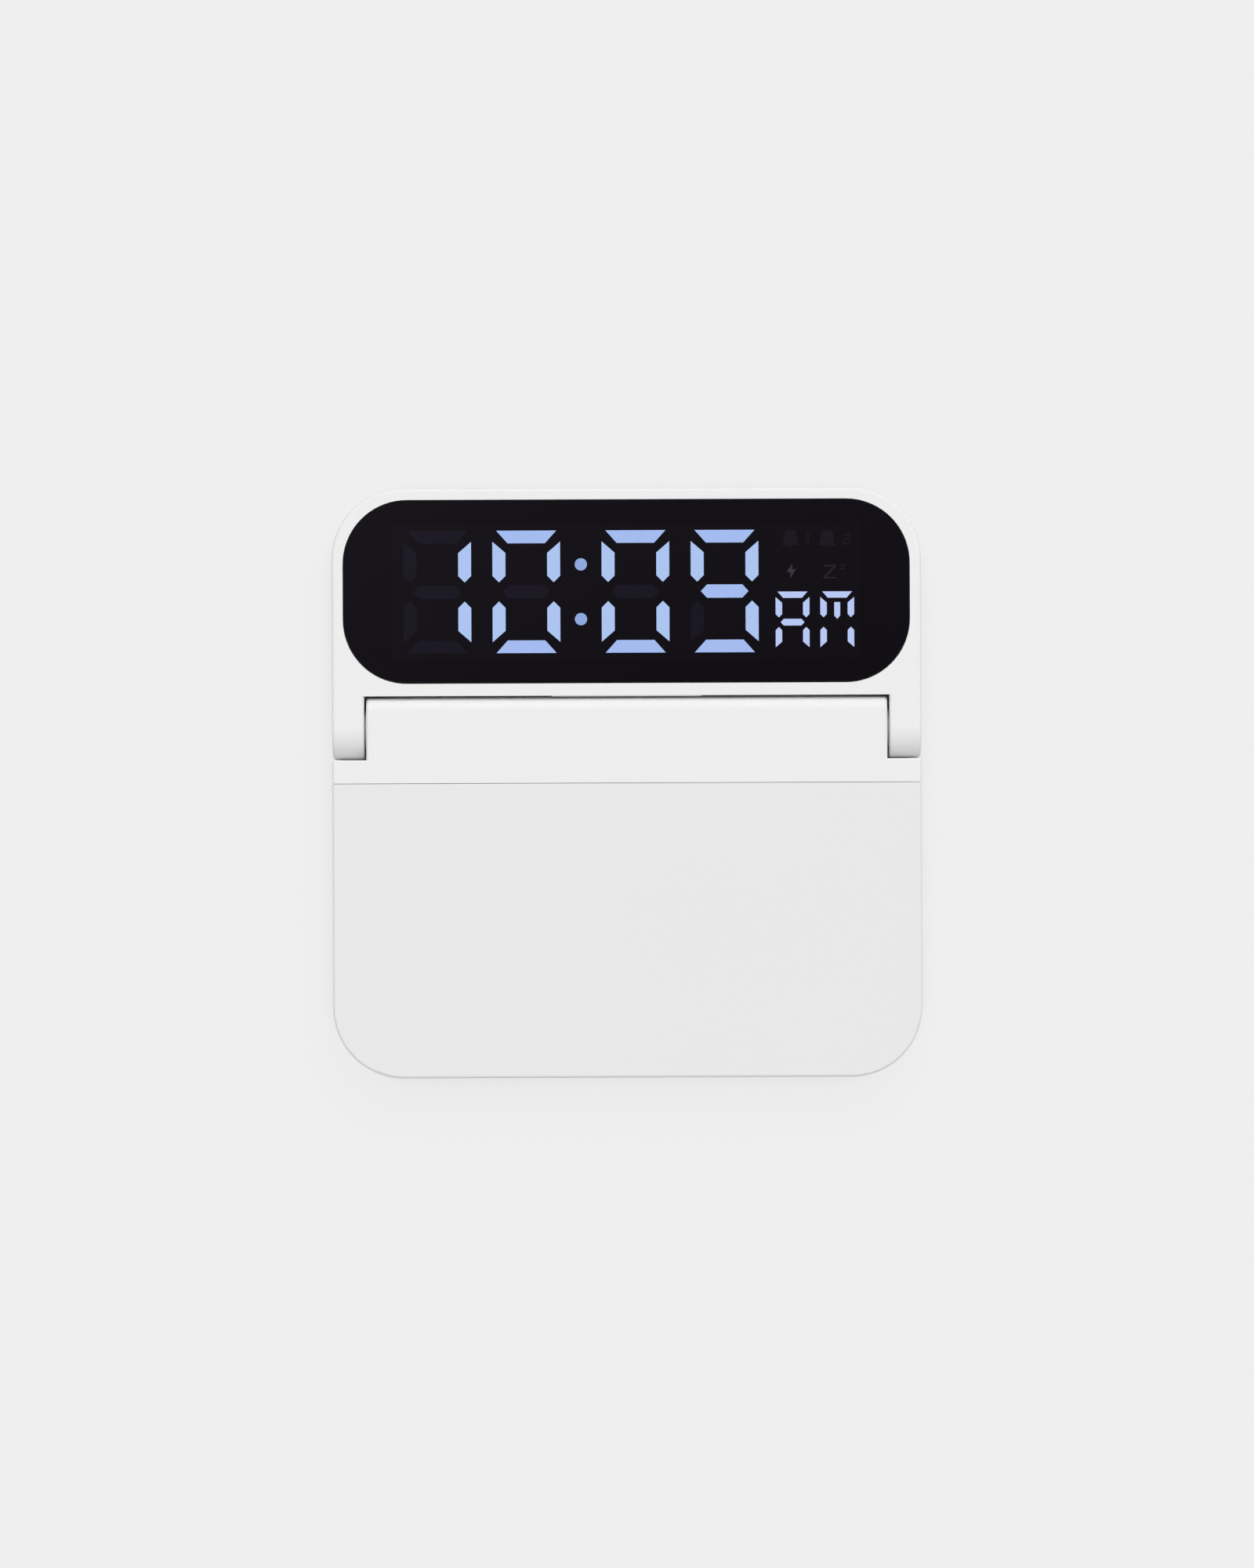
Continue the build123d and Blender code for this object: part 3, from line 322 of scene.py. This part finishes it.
# Display stack behind the lens: white films and frame, a clear light guide and soft-resin LEDs.
# The films spread the light of six LEDs evenly behind the LCD, and a strip of layered rubber
# joins the LCD to its board. The guide's back is printed with fine dots that throw light forward.
white_film = moulded_plastic("satin_polyester_film", "#F1F1F2", "#EDEDEF", 0.6, 0.5, 0.004)
dress(white_film, "diffuser_sheet", "reflector_sheet")
white_frame = moulded_plastic("white_backlight_moulding", "#E9E9E9", "#E5E5E5", 0.45, 0.4, 0.008)
dress(white_frame, "backlight_frame")
dress(moulded_plastic("phosphor_resin", "#EFE9B6", "#E8DF9E", 0.3, 0.5, 0.004), "backlight_leds")
dress(granular("layered_contact_rubber", "#4A4A4D", "#5B5B5E", 0.7, 0.2), "zebra_strip")
light_guide, tree, shader, place = new_material(
    "clear_acrylic", Base_Color=linear("#F2F5F7"), IOR=1.49, Transmission_Weight=1.0
)
guide_dot_mm = 0.8
guide_dots = add(
    tree, "ShaderNodeTexVoronoi", {"Scale": MM_PER_M / guide_dot_mm}, {"Vector": place}
)
guide_gloss = add(
    tree,
    "ShaderNodeMapRange",
    {"To Min": 0.25, "To Max": 0.05},
    {"Value": guide_dots.outputs["Distance"]},
)
tree.links.new(guide_gloss.outputs["Result"], shader.inputs["Roughness"])
dress(light_guide, "light_guide")

# LCD: two sheets of glass under a black polariser film. Its dark field is a blue black.
# The film is calendered, so its gloss wanders a little.
lcd_black, tree, shader, place = new_material(
    "black_polariser_on_glass", Base_Color=linear("#040306"), IOR=1.5, Specular_IOR_Level=0.02
)
film_mm = 6.0
film = add(tree, "ShaderNodeTexNoise", {"Scale": MM_PER_M / film_mm}, {"Vector": place})
film_gloss = add(
    tree,
    "ShaderNodeMapRange",
    {"To Min": 0.04, "To Max": 0.08},
    {"Value": film.outputs["Fac"]},
)
tree.links.new(film_gloss.outputs["Result"], shader.inputs["Roughness"])
dress(lcd_black, "lcd_panel")

# Mask: black adhesive film round the LCD's window, printed matt, which holds the lens in its seat.
# Seen through the lens it is as dark as the LCD, so that the window's edge hardly shows.
dress(granular("black_printed_film", "#1B191D", "#211F24", 0.6, 0.5), "lens_mask")

# Lens: a smoked acrylic plate with polished faces, let into the front with a hair of room round it.
# It dims the display a little and hides the edge of the LCD.
smoked_acrylic, tree, shader, place = new_material(
    "smoked_acrylic", Base_Color=linear("#69676D"), IOR=1.49, Transmission_Weight=1.0
)
polish_mm = 9.0
polish = add(tree, "ShaderNodeTexNoise", {"Scale": MM_PER_M / polish_mm}, {"Vector": place})
lens_gloss = add(
    tree,
    "ShaderNodeMapRange",
    {"To Min": 0.01, "To Max": 0.03},
    {"Value": polish.outputs["Fac"]},
)
tree.links.new(lens_gloss.outputs["Result"], shader.inputs["Roughness"])
dress(smoked_acrylic, "display_lens")

# Segments of the LCD: windows etched in the glass's electrodes, each a bar with mitred ends.
# Those that are on let the cool white backlight through, those that are off still leak a trace.
# Outlines are millimetres about the middle of a digit, places millimetres in the clock's frame.
BAR_OUTLINES = {
    "a": ((-5.1, 10.4), (5.1, 10.4), (3.18, 8.25), (-3.18, 8.25)),
    "b": ((5.75, 8.52), (5.75, 2.72), (4.65, 1.62), (3.55, 2.72), (3.55, 6.61)),
    "g": ((-4.05, 0.0), (-3.0, 1.13), (3.0, 1.13), (4.05, 0.0), (3.0, -1.13), (-3.0, -1.13)),
    "stub": ((-1.0, 6.75), (1.0, 6.75), (1.0, 2.2), (0.0, 1.05), (-1.0, 2.2)),
}
BAR_OUTLINES["f"] = [(-x, y) for x, y in BAR_OUTLINES["b"]]
BAR_OUTLINES["c"] = [(x, -y) for x, y in BAR_OUTLINES["b"]]
BAR_OUTLINES["e"] = [(-x, -y) for x, y in BAR_OUTLINES["b"]]
BAR_OUTLINES["d"] = [(x, -y) for x, y in BAR_OUTLINES["a"]]
FILM_THICKNESS = 0.00003
DIGIT_SCALE = 1.0
LETTER_SCALE = 0.5
LETTER_DROP = 5.33
LETTER_A_X, LETTER_M_X = 28.25, 35.84
lcd_low, lcd_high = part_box("lcd_panel")
lcd_middle = (lcd_low + lcd_high) / 2
digit_y = lcd_middle.y * MM_PER_M
letter_y = digit_y - LETTER_DROP


def thicken(mesh, faces, height):
    """Gives flat faces a thickness along Z."""
    grown = bmesh.ops.extrude_face_region(mesh, geom=faces)["geom"]
    corners = [part for part in grown if isinstance(part, bmesh.types.BMVert)]
    bmesh.ops.translate(mesh, verts=corners, vec=(0, 0, height))


def add_flat(mesh, outline_mm, middle_mm, scale=1.0):
    """One flat shape on the face of the LCD, from its outline in millimetres."""
    middle_x, middle_y = middle_mm
    points = [
        ((middle_x + scale * x) / MM_PER_M, (middle_y + scale * y) / MM_PER_M, lcd_high.z)
        for x, y in outline_mm
    ]
    face = mesh.faces.new([mesh.verts.new(point) for point in points])
    thicken(mesh, [face], FILM_THICKNESS)
    bmesh.ops.recalc_face_normals(mesh, faces=mesh.faces)


def lit_glass(name, colour, strength):
    """Liquid crystal that lets the backlight through, with the grain of the diffuser behind it."""
    material, tree, shader, place = new_material(
        name,
        Base_Color=linear("#0B0A0E"),
        Emission_Color=linear(colour),
        Emission_Strength=strength,
    )
    grain_mm = 0.4
    grain = add(tree, "ShaderNodeTexNoise", {"Scale": MM_PER_M / grain_mm}, {"Vector": place})
    gloss = add(
        tree,
        "ShaderNodeMapRange",
        {"To Min": 0.25, "To Max": 0.35},
        {"Value": grain.outputs["Fac"]},
    )
    tree.links.new(gloss.outputs["Result"], shader.inputs["Roughness"])
    return material


# Each character: where its middle is, its scale, the bars that are on and the bars that are off.
CHARACTERS = [
    ((-32.1, digit_y), DIGIT_SCALE, "bc", "afged"),
    ((-16.97, digit_y), DIGIT_SCALE, "abcdef", "g"),
    ((1.58, digit_y), DIGIT_SCALE, "abcdef", "g"),
    ((16.73, digit_y), DIGIT_SCALE, "abcdfg", "e"),
    ((LETTER_A_X, letter_y), LETTER_SCALE, "abcefg", ""),
    ((LETTER_M_X, letter_y), LETTER_SCALE, "abcef", ""),
]
level_bars, upright_bars, letter_bars, dim_bars = [bmesh.new() for _ in range(4)]
for middle, scale, lit, dim in CHARACTERS:
    for bar in lit:
        digit_bars = level_bars if bar in "adg" else upright_bars
        bars = digit_bars if scale == DIGIT_SCALE else letter_bars
        add_flat(bars, BAR_OUTLINES[bar], middle, scale)
    for bar in dim:
        add_flat(dim_bars, BAR_OUTLINES[bar], middle, scale)
add_flat(letter_bars, BAR_OUTLINES["stub"], (LETTER_M_X, letter_y), LETTER_SCALE)
level_glass = lit_glass("lit_lcd_level", "#AFCCF7", 6.5)
upright_glass = lit_glass("lit_lcd_upright", "#B9D6F9", 6.5)
letter_glass = lit_glass("lit_lcd_letter", "#C5DAFC", 6.5)
dim_glass = lit_glass("dim_lcd_segment", "#2C2B42", 1.0)
piece_from(level_bars, "lit_level_segments", level_glass, "display")
piece_from(upright_bars, "lit_upright_segments", upright_glass, "display")
piece_from(letter_bars, "lit_letter_segments", letter_glass, "display")
piece_from(dim_bars, "dim_segments", dim_glass, "display")

# Colon of the LCD: two round windows etched in the same glass, between the hours and the minutes.
# They let a little less of the backlight through than the bars do.
DOT_RADIUS = 0.00104
DOT_SIDES = 48
DOT_X = -0.0077
DOT_LIFTS = (4.63, -4.67)
colon_dots = bmesh.new()
for lift in DOT_LIFTS:
    rim = bmesh.ops.create_circle(
        colon_dots, cap_ends=True, radius=DOT_RADIUS, segments=DOT_SIDES
    )["verts"]
    dot_place = (DOT_X, (digit_y + lift) / MM_PER_M, lcd_high.z)
    bmesh.ops.translate(colon_dots, verts=rim, vec=dot_place)
    thicken(colon_dots, list({face for vert in rim for face in vert.link_faces}), FILM_THICKNESS)
bmesh.ops.recalc_face_normals(colon_dots, faces=colon_dots.faces)
dot_glass = lit_glass("lit_lcd_dot", "#9FC2F2", 5.8)
piece_from(colon_dots, "lit_colon_dots", dot_glass, "display")

# Signs of the LCD that are off: two bells with their numbers, a charging bolt and the snooze sign.
# They are windows in the same glass, and the backlight leaks through each of them a little
# differently. Outlines are millimetres about the middle of a sign.
BELL = (
    (-0.5, 1.35), (0.5, 1.35), (0.95, 1.0), (1.05, 0.2), (1.15, -0.7), (1.5, -1.25),
    (0.35, -1.25), (0.25, -1.55), (-0.25, -1.55), (-0.35, -1.25), (-1.5, -1.25),
    (-1.15, -0.7), (-1.05, 0.2), (-0.95, 1.0),
)
ONE = (
    (-0.1, 0.95), (0.2, 0.95), (0.2, -0.95), (-0.1, -0.95), (-0.1, 0.5), (-0.4, 0.35),
    (-0.4, 0.6),
)
TWO = (
    (-0.6, 0.9), (0.6, 0.9), (0.6, -0.15), (-0.3, -0.15), (-0.3, -0.65), (0.6, -0.65),
    (0.6, -0.95), (-0.6, -0.95), (-0.6, 0.15), (0.3, 0.15), (0.3, 0.6), (-0.6, 0.6),
)
BOLT = ((0.25, 1.3), (-0.8, -0.2), (-0.1, -0.2), (-0.25, -1.3), (0.8, 0.3), (0.1, 0.3))
ZED = (
    (-1.1, 1.2), (1.1, 1.2), (1.1, 0.95), (-0.65, -0.95), (1.1, -0.95), (1.1, -1.2),
    (-1.1, -1.2), (-1.1, -0.95), (0.65, 0.95), (-1.1, 0.95),
)
SIGNS = {
    "dim_signs": [
        (BELL, (27.95, 41.5), 1.0),
        (ONE, (30.9, 41.3), 1.0),
        (BELL, (34.15, 41.5), 1.0),
        (TWO, (37.5, 41.3), 1.0),
    ],
    "snooze_sign": [(ZED, (34.6, 35.75), 0.95), (ZED, (36.85, 36.6), 0.38)],
    "charging_sign": [(BOLT, (28.05, 35.9), 1.0)],
}
SIGN_GLASS = {
    "dim_signs": lit_glass("dim_lcd_sign", "#35323E", 1.0),
    "snooze_sign": lit_glass("dim_lcd_zed", "#5E585E", 1.0),
    "charging_sign": lit_glass("dim_lcd_bolt", "#8F8A9E", 1.0),
}
for sign_name, shapes in SIGNS.items():
    sign = bmesh.new()
    for outline, middle, scale in shapes:
        add_flat(sign, outline, middle, scale)
    piece_from(sign, sign_name, SIGN_GLASS[sign_name], "display")

# Keys on the back and the snooze bar in the top edge: the same ABS as the case, out of a mould
# that is polished a little more. Flanges inside the case keep them from falling out.
white_key = moulded_plastic("satin_white_abs", "#EDEDED", "#EBEBEB", 0.34, 0.3, 0.006)
dress(white_key, "set_button", "alarm_1_button", "alarm_2_button", "minus_button", "plus_button")
dress(white_key, "snooze_button")

# Marks on the keys: grey ink, pad-printed into the dished faces: a clock for setting, a bell with
# its number for each alarm, less and more. They read the right way when seen from behind.
# Outlines are millimetres about the middle of a key, other sizes metres.
DISH_REACH = 0.0022
DISH_DEPTH = 0.00015
INK_HEIGHT = 0.00001
RING_RADIUS = 0.00135
RING_WIDTH = 0.0003
RING_SIDES = 40
BAR = ((-1.2, 0.2), (1.2, 0.2), (1.2, -0.2), (-1.2, -0.2))
CROSS = (
    (-0.2, 1.2), (0.2, 1.2), (0.2, 0.2), (1.2, 0.2), (1.2, -0.2), (0.2, -0.2),
    (0.2, -1.2), (-0.2, -1.2), (-0.2, -0.2), (-1.2, -0.2), (-1.2, 0.2), (-0.2, 0.2),
)
HANDS = ((-0.14, 0.8), (0.14, 0.8), (0.14, 0.12), (0.62, -0.16), (0.48, -0.4), (-0.14, -0.06))
KEY_MARKS = {
    "set_button": [(HANDS, (0, 0), 1.0)],
    "alarm_1_button": [(BELL, (-0.45, 0), 0.7), (ONE, (1.15, 0), 0.85)],
    "alarm_2_button": [(BELL, (-0.5, 0), 0.7), (TWO, (1.15, 0), 0.7)],
    "minus_button": [(BAR, (0, 0), 1.0)],
    "plus_button": [(CROSS, (0, 0), 1.0)],
}
key_ink, tree, shader, place = new_material("pad_printed_ink", Roughness=0.55)
ink_mm = 0.3
ink = add(
    tree,
    "ShaderNodeTexNoise",
    {"Scale": MM_PER_M / ink_mm, "Detail": 2.0},
    {"Vector": place},
)
ink_tone = add(tree, "ShaderNodeValToRGB", links={"Fac": ink.outputs["Fac"]})
ink_tone.color_ramp.elements[0].color = linear("#77797C")
ink_tone.color_ramp.elements[1].color = linear("#84868A")
tree.links.new(ink_tone.outputs["Color"], shader.inputs["Base Color"])
for key_name, marks in KEY_MARKS.items():
    key_low, key_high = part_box(key_name)
    key_middle = (key_low + key_high) / 2
    mark = bmesh.new()
    for outline, (shift_x, shift_y), scale in marks:
        corners = [
            (-(shift_x + scale * x) / MM_PER_M, (shift_y + scale * y) / MM_PER_M, 0)
            for x, y in outline
        ]
        mark.faces.new([mark.verts.new(corner) for corner in corners])
    if key_name == "set_button":
        rim = bmesh.ops.create_circle(
            mark, cap_ends=True, radius=RING_RADIUS, segments=RING_SIDES
        )["verts"]
        dial = list({face for vert in rim for face in vert.link_faces})
        mark.normal_update()
        bmesh.ops.inset_region(
            mark, faces=dial, thickness=RING_WIDTH, use_boundary=True, use_even_offset=True
        )
        bmesh.ops.delete(mark, geom=dial, context="FACES")
    mark.normal_update()
    bmesh.ops.triangulate(mark, faces=mark.faces)
    bmesh.ops.subdivide_edges(mark, edges=mark.edges, cuts=2, use_grid_fill=True)
    for vert in mark.verts:
        hollow = DISH_DEPTH * max(0.0, 1 - (vert.co.xy.length / DISH_REACH) ** 2)
        vert.co.z = key_low.z + hollow
    thicken(mark, mark.faces, -INK_HEIGHT)
    bmesh.ops.translate(mark, verts=mark.verts, vec=(key_middle.x, key_middle.y, 0))
    bmesh.ops.recalc_face_normals(mark, faces=mark.faces)
    mark_name = key_name.replace("button", "mark")
    piece_from(mark, mark_name, key_ink, key_name.replace("button", "key"))

# Floor: a plain pale sheet of paper. To the camera, to mirrors and through glass it shows its own
# tone and keeps a part of the clock's shadow. Close under the case, where little of the sky
# reaches it, it shows all of the shadow.
FLOOR_SIZE = 8.0
FLOOR_TONE = "#EFEFEF"
PAPER_TONE = "#BEBEBE"
SHADOW_KEPT = 0.14
CONTACT_REACH = 0.006
UNDER_CASE, BESIDE_CASE = 0.2, 0.42
mesh = bmesh.new()
bmesh.ops.create_grid(mesh, x_segments=2, y_segments=2, size=FLOOR_SIZE / 2)
data = bpy.data.meshes.new("floor")
mesh.to_mesh(data)
mesh.free()
floor = bpy.data.objects.new("floor", data)
bpy.context.scene.collection.objects.link(floor)
floor_sheet = bpy.data.materials.new("pale_paper_floor")
floor_sheet.use_nodes = True
data.materials.append(floor_sheet)
tree = floor_sheet.node_tree
tree.nodes.clear()
glow_level = (linear(FLOOR_TONE)[0] - SHADOW_KEPT * linear(PAPER_TONE)[0]) / (1 - SHADOW_KEPT)
glow_colour = (glow_level, glow_level, glow_level, 1.0)
paper = add(tree, "ShaderNodeBsdfDiffuse", {"Color": linear(PAPER_TONE)})
glow = add(tree, "ShaderNodeEmission", {"Color": glow_colour, "Strength": 1.0})
ray = add(tree, "ShaderNodeLightPath")
seen_or_mirrored = add(
    tree,
    "ShaderNodeMath",
    {"operation": "MAXIMUM"},
    {0: ray.outputs["Is Camera Ray"], 1: ray.outputs["Is Glossy Ray"]},
)
seen = add(
    tree,
    "ShaderNodeMath",
    {"operation": "MAXIMUM"},
    {0: seen_or_mirrored.outputs[0], 1: ray.outputs["Is Transmission Ray"]},
)
sky_seen = add(tree, "ShaderNodeAmbientOcclusion", {"Distance": CONTACT_REACH, "samples": 6})
open_floor = add(
    tree,
    "ShaderNodeMapRange",
    {"From Min": UNDER_CASE, "From Max": BESIDE_CASE},
    {"Value": sky_seen.outputs["AO"]},
)
glowing = add(
    tree,
    "ShaderNodeMath",
    {"operation": "MULTIPLY"},
    {0: seen.outputs[0], 1: open_floor.outputs["Result"]},
)
glow_share = add(
    tree,
    "ShaderNodeMath",
    {"operation": "MULTIPLY", 1: 1 - SHADOW_KEPT},
    {0: glowing.outputs[0]},
)
sheet = add(
    tree,
    "ShaderNodeMixShader",
    links={0: glow_share.outputs[0], 1: paper.outputs[0], 2: glow.outputs[0]},
)
add(tree, "ShaderNodeOutputMaterial", links={"Surface": sheet.outputs[0]})

# Light: a soft white dome with a large soft lamp behind the display, a little to the right, so the
# hinge barrel is light and the round ends of the arms fall off. Round its top, where the camera
# hangs, the dome is dark, and that is what the lens mirrors. Edges are cosines from the middle.
DOME_LEVEL = 0.63
DOME_TOP = "#665F6D"
TOP_RIM = "#958BA0"
TOP_PLACE = (0.03, -0.03, 1.0)
RIM_OUTER_EDGE, RIM_EDGE, TOP_EDGE = 0.98, 0.994, 0.998
LAMP_LEVEL = 3.0
LAMP_PLACE = (0.16, 0.66, 1.0)
LAMP_OUTER_EDGE, LAMP_EDGE = 0.89, 0.95
world = bpy.data.worlds.new("soft_studio_dome")
bpy.context.scene.world = world
world.use_nodes = True
tree = world.node_tree
tree.nodes.clear()
way = add(tree, "ShaderNodeTexCoord").outputs["Generated"]
white, black, lamp_white = [
    (level, level, level, 1.0) for level in (DOME_LEVEL, 0.0, LAMP_LEVEL)
]
dome_stops = (
    (0.0, white),
    (RIM_OUTER_EDGE, white),
    (RIM_EDGE, linear(TOP_RIM)),
    (TOP_EDGE, linear(DOME_TOP)),
)
lamp_stops = ((0.0, black), (LAMP_OUTER_EDGE, black), (LAMP_EDGE, lamp_white))
lights = []
for middle, stops in ((TOP_PLACE, dome_stops), (LAMP_PLACE, lamp_stops)):
    nearness = add(
        tree,
        "ShaderNodeVectorMath",
        {"operation": "DOT_PRODUCT", 1: Vector(middle).normalized()},
        {0: way},
    )
    fall_off = add(tree, "ShaderNodeValToRGB", links={"Fac": nearness.outputs["Value"]})
    ramp_stops = fall_off.color_ramp.elements
    ramp_stops.remove(ramp_stops[1])
    for position, colour in stops:
        stop = ramp_stops.new(position) if position else ramp_stops[0]
        stop.position = position
        stop.color = colour
    lights.append(
        add(tree, "ShaderNodeBackground", {"Strength": 1.0}, {"Color": fall_off.outputs["Color"]})
    )
dome, lamp = lights
light = add(tree, "ShaderNodeAddShader", links={0: dome.outputs[0], 1: lamp.outputs[0]})
backdrop = add(tree, "ShaderNodeBackground", {"Color": linear(FLOOR_TONE), "Strength": 1.0})
ray = add(tree, "ShaderNodeLightPath")
studio = add(
    tree,
    "ShaderNodeMixShader",
    links={0: ray.outputs["Is Camera Ray"], 1: light.outputs[0], 2: backdrop.outputs[0]},
)
add(tree, "ShaderNodeOutputWorld", links={"Surface": studio.outputs[0]})

# Camera: straight above the clock, 1.1 m over its face, turned by the photo's quarter of a degree.
# It looks a fifth of a millimetre in front of the clock's middle.
CAMERA_PLACE = (0.0, -0.00019, 1.111)
CAMERA_TURN = math.radians(-0.23)
camera_data = bpy.data.cameras.new("camera")
camera_data.sensor_width = 36.0
camera_data.lens = 148.9
camera = bpy.data.objects.new("camera", camera_data)
camera.location = CAMERA_PLACE
camera.rotation_euler = (0.0, 0.0, CAMERA_TURN)
bpy.context.scene.collection.objects.link(camera)
bpy.context.scene.camera = camera
bpy.context.scene.view_settings.view_transform = "Standard"
